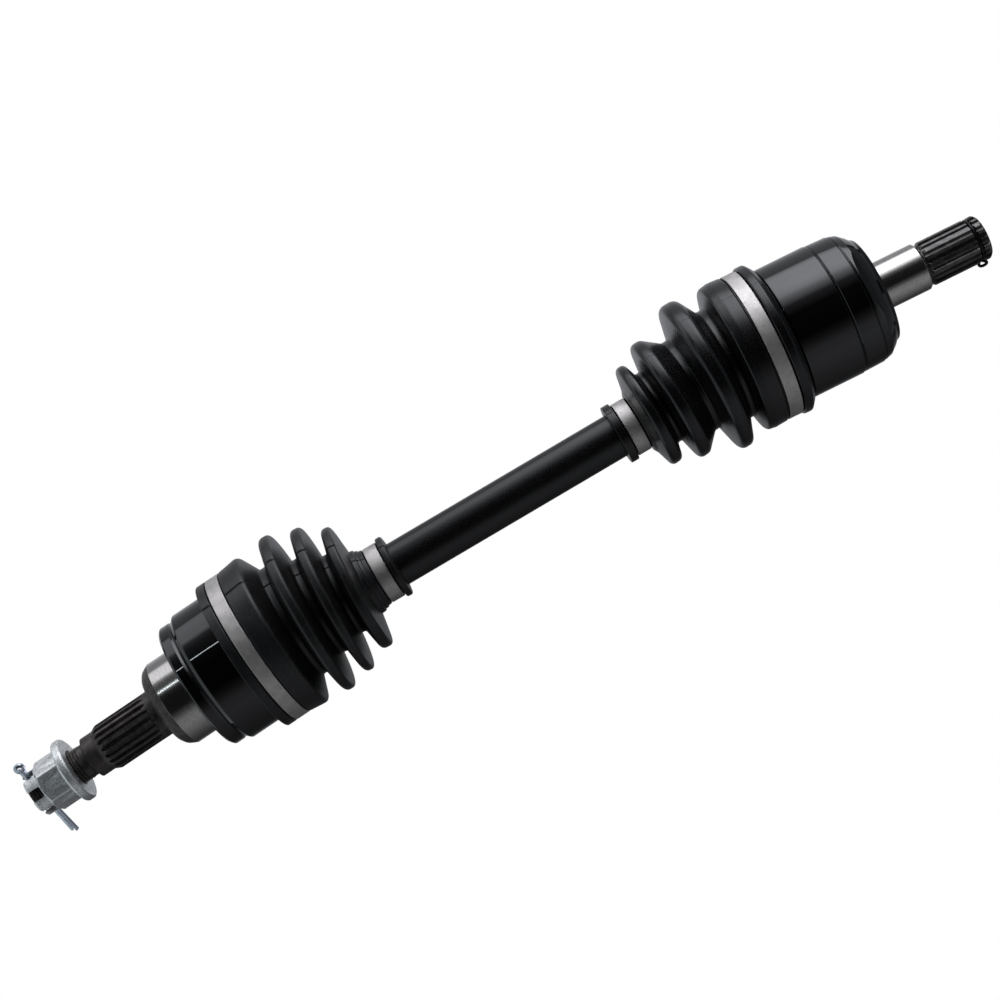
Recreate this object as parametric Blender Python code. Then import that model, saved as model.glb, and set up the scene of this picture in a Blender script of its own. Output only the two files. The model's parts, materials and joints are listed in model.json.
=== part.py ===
"""CV axle: a shaft with a fixed ball joint at the wheel end and a plunging ball joint at the gearbox end.

Lengths are in millimetres and become metres where a mesh is made. +X runs along the shaft towards
the gearbox, +Z is up, and the origin is the middle of the bare shaft. Each end is modelled about its
own joint centre, along +X, and hangs from an empty that stands at that centre and carries the bend.
"""
import math

import bmesh
import bpy
import numpy as np
from mathutils import Matrix, Vector

MM = 0.001
SEGMENTS = 24
ON_AXIS = 1e-6
GAP = 0.3

# joint centres and the bend that the joints stand at
OUTBOARD_CENTRE = -145.5
INBOARD_CENTRE = 173.5
OUTBOARD_BEND = math.radians(3.4)
INBOARD_BEND = math.radians(-4.2)

# bar and its splined ends
BAR_RADIUS = 11.35
SHAFT_SPLINE_TEETH = 18
SHAFT_SPLINE_TIP = 10.4
SHAFT_SPLINE_ROOT = 9.5

# ball joints: the balls run on one pitch circle, in six tracks
BALLS = 6
OUTBOARD = {"pitch": 24.0, "ball": 7.5, "bore": 27.0, "cage_out": 26.4, "cage_in": 22.0,
            "race": 21.4, "race_half": 10.0, "cage_half": 10.0}
INBOARD = {"pitch": 23.5, "ball": 7.2, "bore": 26.5, "cage_out": 26.0, "cage_in": 21.5,
           "race": 20.9, "race_half": 9.5, "cage_half": 9.5}
TRACK_RADIUS_OVER_BALL = 1.0
WINDOW_OVER_BALL = 0.35
WINDOW_ROUND_OVER_BALL = 1.6

# wheel-end stub
THREAD_RADIUS = 8.85
RELIEF_RADIUS = 8.5
HUB_SPLINE_TEETH = 20
HUB_SPLINE_TIP = 12.4
HUB_SPLINE_ROOT = 11.3
HUB_FACE_X = -52.5
COTTER_X = -125.0
COTTER_HOLE_RADIUS = 2.1
COTTER_ANGLE = math.radians(30)

# castle nut
NUT_ACROSS_FLATS = 24.0
NUT_BORE = THREAD_RADIUS + GAP
NUT_CROWN = (-128.3, -121.2)
NUT_HEX = (-121.2, -108.3)
NUT_FLANGE = (-108.3, -103.4)
NUT_CROWN_RADIUS = 11.8
NUT_FLANGE_RADIUS = 17.0
NUT_SLOT_WIDTH = 5.6

# gearbox-end stub
GEARBOX_SPLINE_TEETH = 18
GEARBOX_SPLINE_TIP = 11.55
GEARBOX_SPLINE_ROOT = 10.3
GEARBOX_SPLINE_X = (61.5, 94.3)
STUB_RING_X = 89.4
STUB_RING_WIRE = 0.75
STUB_RING_EYE_TURN = math.radians(190)
STUB_RING_GROOVE_RADIUS = 9.6
CAN_END_X = 35.6
STUB_END_X = 94.6

# plunge spring in the gearbox-end housing
POCKET_RADIUS = 7.5
POCKET_END_X = 52.0
NOSE_RADIUS = 17.0
SPRING_TURNS = 5
SPRING_RADIUS = 5.6
SPRING_WIRE = 0.8

COLOURS = {
    "gloss_black": ((0.008, 0.009, 0.011), 0.0, 0.18),
    "satin_black": ((0.016, 0.016, 0.017), 0.0, 0.42),
    "rubber": ((0.018, 0.019, 0.021), 0.0, 0.6),
    "band_steel": ((0.36, 0.36, 0.37), 1.0, 0.35),
    "zinc": ((0.62, 0.63, 0.64), 1.0, 0.38),
    "bearing_steel": ((0.5, 0.5, 0.51), 1.0, 0.2),
    "phosphate": ((0.06, 0.055, 0.052), 0.6, 0.5),
    "spring_steel": ((0.2, 0.2, 0.21), 1.0, 0.35),
}


def clear_scene():
    for old in list(bpy.data.objects):
        bpy.data.objects.remove(old, do_unlink=True)


def material(name):
    found = bpy.data.materials.get(name)
    if found:
        return found
    colour, metallic, roughness = COLOURS[name]
    made = bpy.data.materials.new(name)
    made.use_nodes = True
    shader = made.node_tree.nodes["Principled BSDF"]
    shader.inputs["Base Color"].default_value = (*colour, 1.0)
    shader.inputs["Metallic"].default_value = metallic
    shader.inputs["Roughness"].default_value = roughness
    return made


def empty(name, x, bend, parent=None):
    """A joint centre on the shaft's axis, turned about Z by the bend."""
    made = bpy.data.objects.new(name, None)
    made.location = (x * MM, 0.0, 0.0)
    made.rotation_euler = (0.0, 0.0, bend)
    made.parent = parent
    bpy.context.collection.objects.link(made)
    return made


def finish_object(name, mesh, finish, parent, sharp=35):
    """The object of one sub-part; its mesh comes in its parent's frame."""
    mesh.name = name
    mesh.shade_smooth()
    mesh.set_sharp_from_angle(angle=math.radians(sharp))
    mesh.materials.append(material(finish))
    made = bpy.data.objects.new(name, mesh)
    made.parent = parent
    bpy.context.collection.objects.link(made)
    return made


def boolean(target, operation, mesh):
    """Cut the mesh from the object, or join it on, with a cutter that isn't part of the model."""
    cutter = bpy.data.objects.new(f"{target.name}_{operation.lower()}_{len(target.modifiers)}", mesh)
    cutter.hide_render = True
    cutter.display_type = "WIRE"
    cutter.parent = target
    bpy.context.collection.objects.link(cutter)
    modifier = target.modifiers.new(operation.lower(), "BOOLEAN")
    modifier.operation = operation
    modifier.solver = "EXACT"
    modifier.object = cutter


def mesh_from(bm):
    bmesh.ops.recalc_face_normals(bm, faces=bm.faces)
    mesh = bpy.data.meshes.new("mesh")
    bm.to_mesh(mesh)
    bm.free()
    return mesh


def turned(outline, segments=SEGMENTS, start=0.0):
    """A closed outline of (x, radius) points, turned about X."""
    bm = bmesh.new()
    rings = []
    for x, radius in outline:
        count = segments if radius > ON_AXIS else 1
        angles = [start + math.tau * k / segments for k in range(count)]
        rings.append([
            bm.verts.new(Vector((x, radius * math.cos(a), radius * math.sin(a))) * MM) for a in angles
        ])
    for ring, after in zip(rings, rings[1:] + rings[:1]):
        if len(ring) == len(after) == 1:
            continue
        for k in range(segments):
            n = (k + 1) % segments
            corners = [ring[k % len(ring)], ring[n % len(ring)], after[n % len(after)], after[k % len(after)]]
            bm.faces.new(list(dict.fromkeys(corners)))
    return mesh_from(bm)


def arc(centre, radius, first, last, steps):
    """Points (x, r) on a circle in an outline, from one angle to another, counted from +X."""
    angles = [math.radians(first + (last - first) * k / steps) for k in range(steps + 1)]
    return [(centre[0] + radius * math.cos(a), centre[1] + radius * math.sin(a)) for a in angles]


def sweep_into(bm, path, section, side, closed=False):
    """A section of (across, along side) points carried along a path."""
    rings = []
    up = side
    for i, point in enumerate(path):
        before = path[i - 1] if closed or i else point
        after = path[(i + 1) % len(path)] if closed or i + 1 < len(path) else point
        tangent = (after - before).normalized()
        up = (up - tangent * up.dot(tangent)).normalized()
        across = up.cross(tangent)
        rings.append([bm.verts.new((point + across * u + up * v) * MM) for u, v in section])
    pairs = list(zip(rings, rings[1:]))
    if closed:
        pairs.append((rings[-1], rings[0]))
    for ring, after in pairs:
        for k in range(len(section)):
            n = (k + 1) % len(section)
            bm.faces.new((ring[k], ring[n], after[n], after[k]))
    if not closed:
        bm.faces.new(rings[0])
        bm.faces.new(rings[-1])


def swept(paths, section, side, closed=False):
    bm = bmesh.new()
    for path in paths:
        sweep_into(bm, path, section, side, closed)
    return mesh_from(bm)


def round_section(radius, sides):
    return [
        (radius * math.cos(math.tau * (k + 0.5) / sides), radius * math.sin(math.tau * (k + 0.5) / sides))
        for k in range(sides)
    ]


def splined(stations, teeth):
    """A toothed bar: stations are (x, root radius, tip radius)."""
    bm = bmesh.new()
    pitch = math.tau / teeth
    rings = []
    for x, root, tip in stations:
        ring = []
        for k in range(teeth):
            for share, radius in ((-0.34, root), (-0.16, tip), (0.16, tip), (0.34, root)):
                a = (k + share) * pitch
                ring.append(bm.verts.new(Vector((x, radius * math.cos(a), radius * math.sin(a))) * MM))
        rings.append(ring)
    for ring, after in zip(rings, rings[1:]):
        for k in range(len(ring)):
            n = (k + 1) % len(ring)
            bm.faces.new((ring[k], ring[n], after[n], after[k]))
    bm.faces.new(rings[0])
    bm.faces.new(rings[-1])
    return mesh_from(bm)


def boxes(placed):
    """Boxes given as (size, matrix) pairs, in one mesh."""
    bm = bmesh.new()
    for size, matrix in placed:
        scale = Matrix.Diagonal((*(s * MM for s in size), 1.0))
        shift = Matrix.Translation(matrix.translation * MM) @ matrix.to_3x3().to_4x4()
        bmesh.ops.create_cube(bm, size=1.0, matrix=shift @ scale)
    return mesh_from(bm)


def ring_path(x, radius, steps, first=0.0, sweep=math.tau):
    """Points round X; a full turn leaves its last point out."""
    count = steps if sweep >= math.tau else steps + 1
    return [
        Vector((x, radius * math.cos(first + sweep * k / steps), radius * math.sin(first + sweep * k / steps)))
        for k in range(count)
    ]


def ball_angle(k):
    """Balls 1 and 4 stand on the Z axis, above and below the joint centre."""
    return math.pi / 2 + math.tau * k / BALLS


def track_paths(radius, first, last, steps):
    """Six arcs about the joint centre, each in the plane of the X axis and its ball."""
    paths = []
    for k in range(BALLS):
        out = Vector((0.0, math.cos(ball_angle(k)), math.sin(ball_angle(k))))
        turns = [math.radians(first + (last - first) * n / steps) for n in range(steps + 1)]
        paths.append([out * radius * math.cos(t) + Vector((radius * math.sin(t), 0.0, 0.0)) for t in turns])
    return paths


def cut_tracks(target, paths, radius, sides):
    bm = bmesh.new()
    for path in paths:
        middle = path[len(path) // 2].copy()
        side = Vector((1.0, 0.0, 0.0)).cross(middle).normalized()
        sweep_into(bm, path, round_section(radius / math.cos(math.pi / sides), sides), side)
    boolean(target, "DIFFERENCE", mesh_from(bm))


def sphere_zone(radius, half, steps):
    """The outline of a sphere's outside between two planes, at equal steps."""
    edge = math.degrees(math.acos(half / radius))
    return arc((0.0, 0.0), radius, edge, 180 - edge, steps)


def inner_race(end, sizes, parent):
    """The star that the balls drive the shaft by, with a splined bore."""
    half = sizes["race_half"]
    bore = SHAFT_SPLINE_ROOT - 1.0
    outline = sphere_zone(sizes["race"], half, 4) + [(-half, bore), (half, bore)]
    race = finish_object(f"{end}_inner_race", turned(outline), "bearing_steel", parent)
    reach = half + 1.0
    root, tip = SHAFT_SPLINE_ROOT + GAP, SHAFT_SPLINE_TIP + GAP
    boolean(race, "DIFFERENCE", splined([(-reach, root, tip), (reach, root, tip)], SHAFT_SPLINE_TEETH))
    radius = sizes["ball"] + TRACK_RADIUS_OVER_BALL
    path = sizes["pitch"] + TRACK_RADIUS_OVER_BALL - GAP
    cut_tracks(race, track_paths(path, -40, 40, 4), radius, 8)


def cage(end, sizes, parent):
    """The ring whose windows hold the balls in one plane."""
    half = sizes["cage_half"]
    outside = sphere_zone(sizes["cage_out"], half, 4)
    inside = sphere_zone(sizes["cage_in"], half, 4)
    made = finish_object(f"{end}_cage", turned(outside + inside[::-1]), "bearing_steel", parent)
    across = 2 * (sizes["ball"] + WINDOW_OVER_BALL)
    around = 2 * (sizes["ball"] + WINDOW_ROUND_OVER_BALL)
    depth = sizes["cage_out"] - sizes["cage_in"] + 6.0
    middle = (sizes["cage_out"] + sizes["cage_in"]) / 2
    windows = []
    for k in range(BALLS):
        turn = Matrix.Rotation(ball_angle(k), 4, "X")
        windows.append(((across, depth, around), turn @ Matrix.Translation((0.0, middle, 0.0))))
    boolean(made, "DIFFERENCE", boxes(windows))


def balls(end, sizes, parent):
    for k in range(BALLS):
        a = ball_angle(k)
        bm = bmesh.new()
        place = Matrix.Translation(Vector((0.0, math.cos(a), math.sin(a))) * sizes["pitch"] * MM)
        bmesh.ops.create_uvsphere(bm, u_segments=10, v_segments=7, radius=sizes["ball"] * MM, matrix=place)
        finish_object(f"{end}_ball_{k + 1}", mesh_from(bm), "bearing_steel", parent, sharp=60)


def race_ring(end, x, parent):
    """The open wire ring that keeps the inner race on the shaft."""
    path = ring_path(x, SHAFT_SPLINE_TIP + 0.1, 16, math.radians(20), math.radians(320))
    finish_object(f"{end}_race_circlip", swept([path], round_section(0.75, 5), Vector((1, 0, 0))),
                  "spring_steel", parent)


def shaft():
    """The solid bar with its splined ends, ring grooves and, at the gearbox end, a domed nose."""
    out, inn = OUTBOARD_CENTRE, INBOARD_CENTRE
    core = SHAFT_SPLINE_ROOT - 0.4
    collar = SHAFT_SPLINE_TIP - 0.2
    groove = SHAFT_SPLINE_TIP - 1.3
    left = out + OUTBOARD["race_half"] + GAP
    right = inn - INBOARD["race_half"] - GAP
    ring_out = out - OUTBOARD["race_half"] - 1.3
    ring_in = inn + INBOARD["race_half"] + 1.3
    nose = arc((inn, 0.0), NOSE_RADIUS, math.degrees(math.asin(5.5 / NOSE_RADIUS)), 0, 2)
    outline = [(ring_out - 3.0, 0.0), (ring_out - 3.0, collar - 0.8), (ring_out - 2.2, collar),
               (ring_out - 1.1, collar), (ring_out - 1.1, groove), (left - 1.0, groove), (left, core),
               (left + 2.2, BAR_RADIUS), (right - 2.2, BAR_RADIUS), (right, core), (right + 1.0, groove),
               (ring_in + 1.1, groove), (ring_in + 1.1, collar), (ring_in + 2.0, collar),
               (ring_in + 2.6, 5.5)] + nose
    bar = finish_object("shaft", turned(outline), "satin_black", None)
    for first, last in ((ring_out + 1.1, left + 1.4), (right - 1.4, ring_in - 1.1)):
        stations = [(first, SHAFT_SPLINE_ROOT, SHAFT_SPLINE_TIP), (last, SHAFT_SPLINE_ROOT, SHAFT_SPLINE_TIP)]
        boolean(bar, "UNION", splined(stations, SHAFT_SPLINE_TEETH))


def outboard_housing(parent):
    """The bell with its hub seat, splined and threaded stub, drilled for the cotter pin."""
    stub = [(-127.5, 0.0), (-127.5, 7.9), (-126.5, THREAD_RADIUS), (-102.6, THREAD_RADIUS),
            (-102.2, RELIEF_RADIUS), (-95.6, RELIEF_RADIUS), (-94.6, 10.85), (-87.6, 10.85), (-87.0, 11.0),
            (-53.5, 11.0), (HUB_FACE_X, 12.3)]
    seat = [(HUB_FACE_X, 18.4), (-51.0, 20.1), (-49.5, 21.3), (-48.0, 22.2), (-46.5, 22.95), (-33.0, 22.95)]
    bell = [(-32.4, 32.6), (-31.2, 33.9), (-26.6, 33.9), (-25.3, 33.3), (-23.0, 35.2), (-22.2, 35.85),
            (-5.6, 35.85), (-5.0, 34.2), (7.9, 34.2), (9.5, 33.0), (9.5, 29.5)]
    mouth = [(5.5, 26.43)] + arc((0.0, 0.0), OUTBOARD["bore"], 90, 180, 8)
    made = finish_object("outboard_housing", turned(stub + seat + bell + mouth), "gloss_black", parent)
    root, tip = HUB_SPLINE_ROOT, HUB_SPLINE_TIP
    stations = [(-87.2, 10.9, 11.2), (-82.6, root, tip), (-58.0, root, tip), (-54.5, tip - 0.2, tip),
                (HUB_FACE_X + 1.0, tip - 0.2, tip)]
    boolean(made, "UNION", splined(stations, HUB_SPLINE_TEETH))
    radius = OUTBOARD["ball"] + TRACK_RADIUS_OVER_BALL
    first, last, steps = -42, 62, 6
    # the chords of the arc stay at least as far out as the arc itself
    path = (OUTBOARD["pitch"] - TRACK_RADIUS_OVER_BALL + GAP) / math.cos(math.radians(last - first) / steps / 2)
    cut_tracks(made, track_paths(path, first, last, steps), radius, 8)
    drill = Vector((0.0, math.cos(COTTER_ANGLE), math.sin(COTTER_ANGLE)))
    hole = [Vector((COTTER_X, 0.0, 0.0)) + drill * 14.0 * way for way in (-1, 1)]
    boolean(made, "DIFFERENCE", swept([hole], round_section(COTTER_HOLE_RADIUS, 12), Vector((1, 0, 0))))


def inboard_housing(parent):
    """The can with straight tracks, its bearing journal, spring pocket and splined stub."""
    can = [(-32.5, 26.9), (-32.5, 33.2), (-15.2, 33.2), (-14.8, 34.5), (12.0, 34.5), (12.9, 33.5), (13.8, 34.0),
           (22.5, 33.8), (24.2, 33.4), (25.6, 32.9), (28.6, 32.2), (31.5, 29.6), (33.0, 27.9), (34.6, 27.0),
           (35.2, 25.4)]
    stub = [(CAN_END_X, 24.4), (CAN_END_X, 12.2), (60.8, 12.2), (61.9, 11.0), (62.1, 9.6),
            (STUB_END_X - 0.6, 9.6), (STUB_END_X, 9.0), (STUB_END_X, 0.0)]
    cavity = [(POCKET_END_X, 0.0), (POCKET_END_X, POCKET_RADIUS), (27.0, POCKET_RADIUS), (27.0, 20.0),
              (22.0, INBOARD["bore"])]
    ring = [(-25.3, INBOARD["bore"]), (-25.3, 28.2), (-27.5, 28.2), (-27.5, INBOARD["bore"])]
    outline = can + stub + cavity + ring
    made = finish_object("inboard_housing", turned(outline), "gloss_black", parent)
    first, last = GEARBOX_SPLINE_X
    cut = STUB_RING_X
    teeth = [(first + 0.3, 9.9, 10.2), (first + 3.0, GEARBOX_SPLINE_ROOT, GEARBOX_SPLINE_TIP),
             (last - 0.9, GEARBOX_SPLINE_ROOT, GEARBOX_SPLINE_TIP), (last, GEARBOX_SPLINE_ROOT, 10.7)]
    boolean(made, "UNION", splined(teeth, GEARBOX_SPLINE_TEETH))
    ditch = [(cut - 1.1, 14.0), (cut - 1.1, STUB_RING_GROOVE_RADIUS), (cut + 1.1, STUB_RING_GROOVE_RADIUS),
             (cut + 1.1, 14.0)]
    boolean(made, "DIFFERENCE", turned(ditch))
    radius = INBOARD["ball"] + TRACK_RADIUS_OVER_BALL
    centre = INBOARD["pitch"] - TRACK_RADIUS_OVER_BALL + GAP
    paths = []
    for k in range(BALLS):
        out = Vector((0.0, math.cos(ball_angle(k)), math.sin(ball_angle(k)))) * centre
        paths.append([out + Vector((x, 0.0, 0.0)) for x in (-35.0, 23.5)])
    cut_tracks(made, paths, radius, 8)


def boot(end, centre, outline, course):
    """A bellows turned about X, then carried along a course of (x, rise, tilt in degrees).

    The rise and the tilt take each ring from the shaft's axis over onto the housing's.
    """
    mesh = turned(outline)
    along, rises, tilts = zip(*course)
    for vertex in mesh.vertices:
        x = vertex.co.x / MM
        tilt = math.radians(np.interp(x, along, tilts))
        y = vertex.co.y
        vertex.co.x = (centre + x) * MM - y * math.sin(tilt)
        vertex.co.y = np.interp(x, along, rises) * MM + y * math.cos(tilt)
    finish_object(f"{end}_boot", mesh, "rubber", None, sharp=50)


def outboard_boot():
    outside = [(-5.2, 38.9), (-5.2, 40.6), (-1.2, 40.6), (-1.0, 39.5), (7.7, 39.5), (7.9, 40.5), (9.6, 40.8),
               (13.7, 41.5), (18.6, 40.6), (22.6, 33.8), (25.8, 29.4), (29.2, 36.2), (30.9, 41.6), (32.9, 43.1),
               (35.0, 41.8), (37.4, 34.6), (39.9, 25.6), (42.9, 31.6), (44.9, 38.0), (46.9, 39.3), (48.8, 38.0),
               (50.9, 30.4), (53.2, 20.8), (56.2, 26.8), (58.0, 31.8), (59.9, 33.0), (61.7, 31.9), (63.9, 24.0),
               (65.6, 17.2), (68.4, 15.7), (71.2, 15.2), (71.4, 13.8), (79.3, 13.8), (79.6, 15.9), (81.0, 16.45),
               (83.0, 15.6)]
    inside = [(83.0, 11.65), (67.4, 11.65), (64.4, 14.2), (59.9, 30.4), (53.2, 18.8), (46.9, 36.7), (39.9, 23.6),
              (32.9, 40.5), (25.8, 27.4), (18.0, 37.8), (10.2, 38.6), (9.8, 34.5), (-4.6, 34.5), (-5.2, 36.2)]
    far = math.sin(OUTBOARD_BEND)
    bend = math.degrees(OUTBOARD_BEND)
    course = [(-9.0, -9.0 * far, bend), (14.0, 14.0 * far, bend), (25.8, 2.05, 0.6), (39.9, 2.0, -0.9),
              (46.9, 1.4, -1.9), (53.2, 1.0, -3.1), (59.9, 0.5, -2.3), (70.0, 0.0, 0.0)]
    boot("outboard", OUTBOARD_CENTRE, outside + inside, course)


def inboard_boot():
    outside = [(-110.9, 14.9), (-110.3, 15.55), (-106.8, 15.55), (-106.5, 13.1), (-98.7, 13.1), (-98.3, 15.6),
               (-96.4, 19.2), (-94.0, 26.2), (-91.95, 27.5), (-89.9, 26.4), (-87.8, 22.3), (-85.7, 19.95),
               (-83.4, 24.2), (-80.9, 31.4), (-78.7, 32.65), (-76.2, 31.7), (-71.2, 28.0), (-65.9, 25.1),
               (-63.2, 32.0), (-60.4, 39.0), (-57.3, 40.4), (-54.2, 39.0), (-50.3, 32.6), (-46.4, 29.2),
               (-43.8, 36.2), (-41.2, 38.7), (-38.0, 39.1), (-31.7, 38.7), (-31.3, 37.4), (-22.9, 37.4),
               (-22.7, 39.2), (-21.0, 39.7), (-18.3, 39.2), (-16.5, 36.8), (-15.5, 35.2)]
    inside = [(-15.5, 33.5), (-32.8, 33.5), (-33.2, 36.6), (-39.8, 36.9), (-46.85, 28.1), (-57.3, 38.0),
              (-66.65, 23.6), (-78.7, 30.3), (-85.7, 18.0), (-91.95, 25.0), (-96.2, 13.6), (-98.8, 11.65),
              (-110.9, 11.65)]
    far = math.sin(INBOARD_BEND)
    bend = math.degrees(INBOARD_BEND)
    course = [(-98.0, 0.0, 0.0), (-92.0, 0.8, 2.0), (-78.7, 1.9, 2.4), (-66.6, 2.6, 1.4), (-57.3, 2.9, 0.0),
              (-46.8, 3.0, -3.2), (-36.0, -36.0 * far, bend), (-13.0, -13.0 * far, bend)]
    boot("inboard", INBOARD_CENTRE, outside + inside, course)


def clamp(name, x, width, radius, thick, parent):
    """A stepless band whose crimped ear stands on the underside."""
    ear_half, ear_high = 3.2, 3.4
    spread = math.asin(ear_half / radius)
    path = ring_path(x, radius, 28, spread - math.pi / 2, math.tau - 2 * spread - 1e-6)
    for across, high in ((-0.75, 0.55), (-0.8, 1.0), (0.8, 1.0), (0.75, 0.55)):
        path.append(Vector((x, across * ear_half, -radius - high * ear_high)))
    half = width / 2
    section = [(-thick / 2, -half), (thick / 2, -half), (thick / 2, half), (-thick / 2, half)]
    finish_object(name, swept([path], section, Vector((1, 0, 0)), closed=True), "band_steel", parent)


def castle_nut(parent):
    """Hexagon, flange and slotted crown in one, bored over the thread."""
    corner = NUT_ACROSS_FLATS / 2 / math.cos(math.pi / 6)
    flat = NUT_ACROSS_FLATS / 2
    crown = [(NUT_CROWN[0], 0.0), (NUT_CROWN[0], NUT_CROWN_RADIUS - 1.3),
             (NUT_CROWN[0] + 1.3, NUT_CROWN_RADIUS), (NUT_FLANGE[0] - 0.6, NUT_CROWN_RADIUS)]
    flange = [(NUT_FLANGE[0] - 0.6, 13.6), (NUT_FLANGE[0] + 0.8, NUT_FLANGE_RADIUS - 0.3),
              (NUT_FLANGE[0] + 1.4, NUT_FLANGE_RADIUS), (NUT_FLANGE[1] - 0.8, NUT_FLANGE_RADIUS),
              (NUT_FLANGE[1], NUT_FLANGE_RADIUS - 0.8), (NUT_FLANGE[1], 0.0)]
    made = finish_object("castle_flange_nut", turned(crown + flange, start=math.pi / SEGMENTS), "zinc", parent)
    hexagon = [(NUT_HEX[0], 0.0), (NUT_HEX[0], flat - 0.2), (NUT_HEX[0] + 1.2, corner),
               (NUT_HEX[1] + 0.2, corner), (NUT_HEX[1] + 0.2, 0.0)]
    boolean(made, "UNION", turned(hexagon, 6))
    bore = [(NUT_CROWN[0] - 1.0, 0.0), (NUT_CROWN[0] - 1.0, NUT_BORE), (NUT_FLANGE[1] + 1.0, NUT_BORE),
            (NUT_FLANGE[1] + 1.0, 0.0)]
    boolean(made, "DIFFERENCE", turned(bore, start=math.pi / SEGMENTS))
    slots = []
    length = NUT_CROWN[1] - NUT_CROWN[0]
    for k in range(3):
        turn = Matrix.Translation((NUT_CROWN[0] + length / 2 - 1.0, 0.0, 0.0))
        turn = turn @ Matrix.Rotation(COTTER_ANGLE + k * math.pi / 3, 4, "X")
        slots.append(((length + 1.6, 40.0, NUT_SLOT_WIDTH), turn))
    for slot in slots:
        boolean(made, "DIFFERENCE", boxes([slot]))


def cotter_pin(parent):
    """Half-round wire doubled into an eye and two legs, the legs a little spread below the nut."""
    half = COTTER_HOLE_RADIUS - GAP
    legs = 0.12
    eye = 1.8
    middle = 18.3
    wire = [(0.0, -half * 0.86), (-half * 0.62, -half * 0.6), (-half * 0.9, 0.0), (-half * 0.62, half * 0.6),
            (0.0, half * 0.86)]
    # (along the hole, across it)
    path = [(-29.2, 0.9), (-22.0, 0.35), (-14.5, legs), (middle - 3.0, legs)]
    path += arc((middle, 0.0), eye, 140, -140, 9)
    path += [(middle - 3.0, -legs), (-14.5, -legs), (-21.0, -0.3), (-26.8, -0.7)]
    drill = Vector((0.0, math.cos(COTTER_ANGLE), math.sin(COTTER_ANGLE)))
    points = [Vector((COTTER_X + across, 0.0, 0.0)) + drill * along for along, across in path]
    side = Vector((1, 0, 0)).cross(drill)
    finish_object("cotter_pin", swept([points], wire, side), "zinc", parent, sharp=50)


def stub_ring(parent):
    """The wire ring that locks the stub in the gearbox; one end turns up into an open eye in a tooth gap."""
    radius = STUB_RING_GROOVE_RADIUS + STUB_RING_WIRE + 0.25
    out = Vector((0.0, math.cos(STUB_RING_EYE_TURN), math.sin(STUB_RING_EYE_TURN)))
    eye = [(-1.7, 11.6), (-2.0, 12.3), (-1.4, 13.1), (0.2, 13.45), (1.8, 13.1), (2.1, 12.3), (1.2, 11.6)]
    path = [out * r + Vector((STUB_RING_X + x, 0.0, 0.0)) for x, r in eye]
    path += ring_path(STUB_RING_X, radius, 24, STUB_RING_EYE_TURN + 0.02, math.radians(338))
    finish_object("stub_circlip", swept([path], round_section(STUB_RING_WIRE, 8), out.cross(Vector((1, 0, 0)))),
                  "spring_steel", parent)


def stopper_ring(parent):
    path = ring_path(-26.4, 27.2, 20, math.radians(12), math.radians(336))
    finish_object("inboard_stopper_ring", swept([path], round_section(0.8, 5), Vector((1, 0, 0))),
                  "spring_steel", parent)


def spring_cup(parent):
    """The cup that rides on the shaft's domed nose."""
    dish = arc((0.0, 0.0), NOSE_RADIUS + GAP, 17, 0, 3)
    outline = dish + [(22.6, 0.0), (22.6, 4.0), (20.0, 4.0), (20.0, 6.8), (dish[0][0], 6.8)]
    finish_object("plunge_spring_cup", turned(outline), "bearing_steel", parent)


def plunge_spring(parent):
    steps = SPRING_TURNS * 10
    first, last = 20.0 + SPRING_WIRE + GAP, POCKET_END_X - SPRING_WIRE - GAP
    path = []
    for k in range(steps + 1):
        a = math.tau * SPRING_TURNS * k / steps
        x = first + (last - first) * k / steps
        path.append(Vector((x, SPRING_RADIUS * math.cos(a), SPRING_RADIUS * math.sin(a))))
    finish_object("plunge_spring", swept([path], round_section(SPRING_WIRE, 5), Vector((1, 0, 0))),
                  "spring_steel", parent)


def build():
    clear_scene()
    outboard = empty("outboard_axis", OUTBOARD_CENTRE, OUTBOARD_BEND)
    outboard_straight = empty("outboard_shaft_axis", OUTBOARD_CENTRE, 0.0)
    outboard_half = empty("outboard_cage_axis", OUTBOARD_CENTRE, OUTBOARD_BEND / 2)
    inboard = empty("inboard_axis", INBOARD_CENTRE, INBOARD_BEND)
    inboard_straight = empty("inboard_shaft_axis", INBOARD_CENTRE, 0.0)
    inboard_half = empty("inboard_cage_axis", INBOARD_CENTRE, INBOARD_BEND / 2)

    shaft()
    for end, sizes, straight, halfway, way in (
        ("outboard", OUTBOARD, outboard_straight, outboard_half, -1),
        ("inboard", INBOARD, inboard_straight, inboard_half, 1),
    ):
        inner_race(end, sizes, straight)
        race_ring(end, way * (sizes["race_half"] + 1.3), straight)
        cage(end, sizes, halfway)
        balls(end, sizes, halfway)

    outboard_housing(outboard)
    castle_nut(outboard)
    cotter_pin(outboard)
    outboard_boot()
    clamp("outboard_boot_clamp_large", 3.6, 7.2, 40.3, 0.9, outboard)
    clamp("outboard_boot_clamp_small", 75.35, 7.0, 14.6, 0.8, outboard_straight)

    inboard_housing(inboard)
    stopper_ring(inboard)
    stub_ring(inboard)
    spring_cup(inboard)
    plunge_spring(inboard)
    inboard_boot()
    clamp("inboard_boot_clamp_large", -27.1, 7.2, 38.2, 0.9, inboard)
    clamp("inboard_boot_clamp_small", -102.6, 7.0, 13.85, 0.8, inboard_straight)


build()
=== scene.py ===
"""The looks of a cv axle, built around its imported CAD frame.

Each piece is shaped in millimetres along its own axis X and set down at its joint's centre. Round that axis
0 degrees is +Y and 90 degrees is +Z. An outline is a list of (x, radius) or (x, radius, rounding) corners.
"""
import json
import math

import bmesh
import bpy
import numpy as np
from mathutils import Matrix, Vector


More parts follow.
